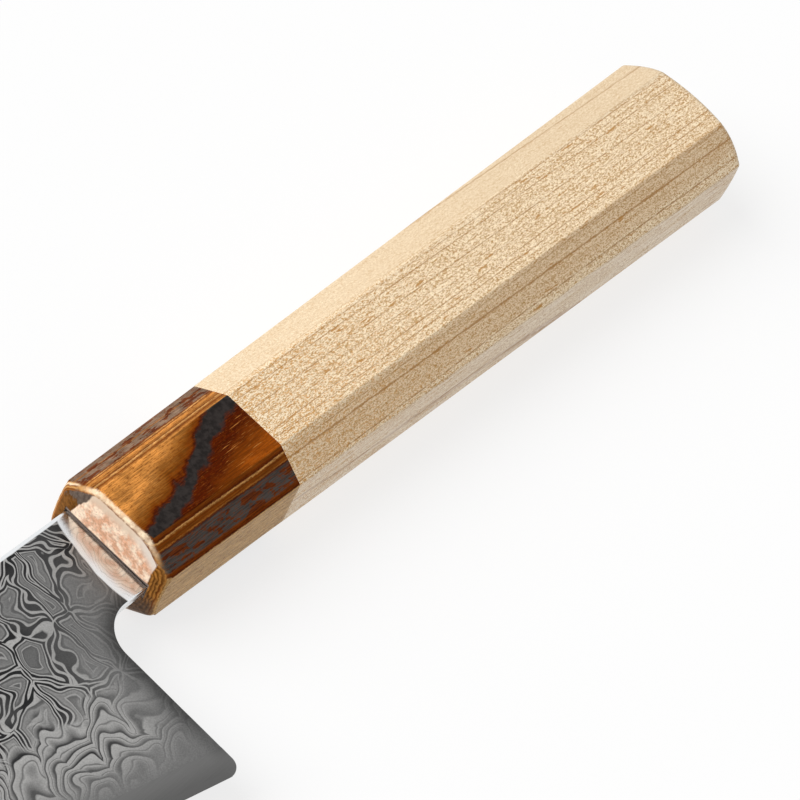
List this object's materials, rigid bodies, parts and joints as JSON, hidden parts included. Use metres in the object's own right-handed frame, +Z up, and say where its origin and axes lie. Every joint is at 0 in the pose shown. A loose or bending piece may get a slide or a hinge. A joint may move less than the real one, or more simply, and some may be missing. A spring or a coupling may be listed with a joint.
{
  "type": "paring knife",
  "caption": "Small kitchen knife with a deep-heeled patterned blade on a stick tang in a tapered octagonal wooden handle with a dyed ferrule, for paring and trimming food.",
  "frame": {"origin": "centre of the handle body's underside flat, where the knife rests when it is laid on its side", "axes": "+X along the handle to the blade's point, +Y to the cutting edge, +Z up out of the blade's left face"},
  "size_m": [0.2288, 0.043, 0.015],
  "materials": {
    "core_steel": "satin ground hard steel",
    "patterned_steel": "etched layered steel with dark and light contour lines",
    "dyed_wood": "dyed figured wood, satin lacquer, with pale end grain on its front",
    "dowel_wood": "plain turned wood",
    "maple": "fine-grained maple, satin lacquer",
    "resin": "cast bedding resin"
  },
  "bodies": {
    "root": {"blade_core": "core_steel", "cladding_left": "patterned_steel", "cladding_right": "patterned_steel", "ferrule": "dyed_wood", "dowel": "dowel_wood", "handle_body": "maple", "tang_bedding": "resin"}
  },
  "joints": []
}
